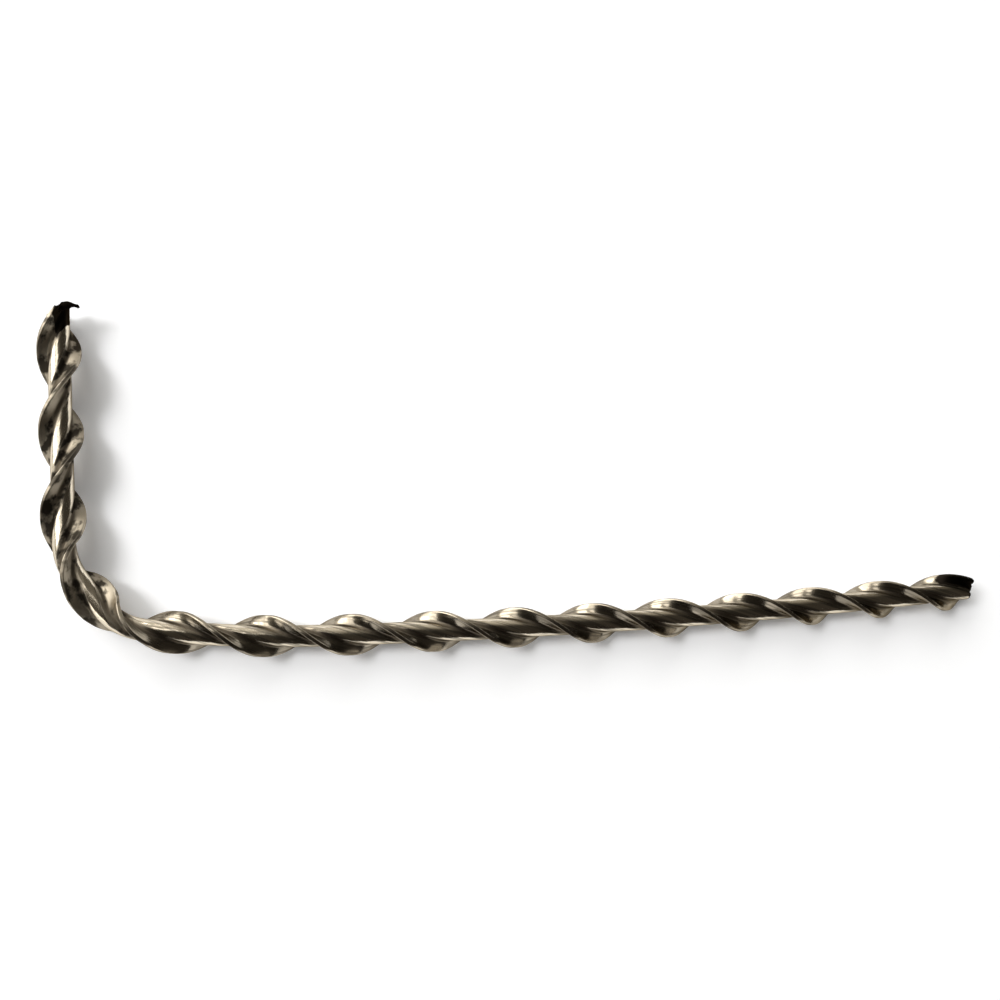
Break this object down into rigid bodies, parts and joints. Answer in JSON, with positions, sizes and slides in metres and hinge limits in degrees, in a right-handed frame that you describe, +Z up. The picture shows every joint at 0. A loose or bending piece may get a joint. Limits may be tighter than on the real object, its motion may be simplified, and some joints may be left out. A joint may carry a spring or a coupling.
{
  "type": "helical crack stitching bar",
  "caption": "Right-angled helical steel bar that is bonded into slots or holes in masonry to stitch a crack round a corner.",
  "frame": {"origin": "centre of the base of the bounding box, on the surface that the bar lies on", "axes": "+X along the long leg towards its free end, +Y along the short leg towards its free end, +Z up from the surface that the bar lies on"},
  "size_m": [0.1456, 0.0532, 0.006],
  "materials": {
    "stainless_steel": "bright cold-rolled surface, with dull dark cropped ends"
  },
  "bodies": {
    "root": {"helical_bar": "stainless_steel"}
  },
  "joints": []
}
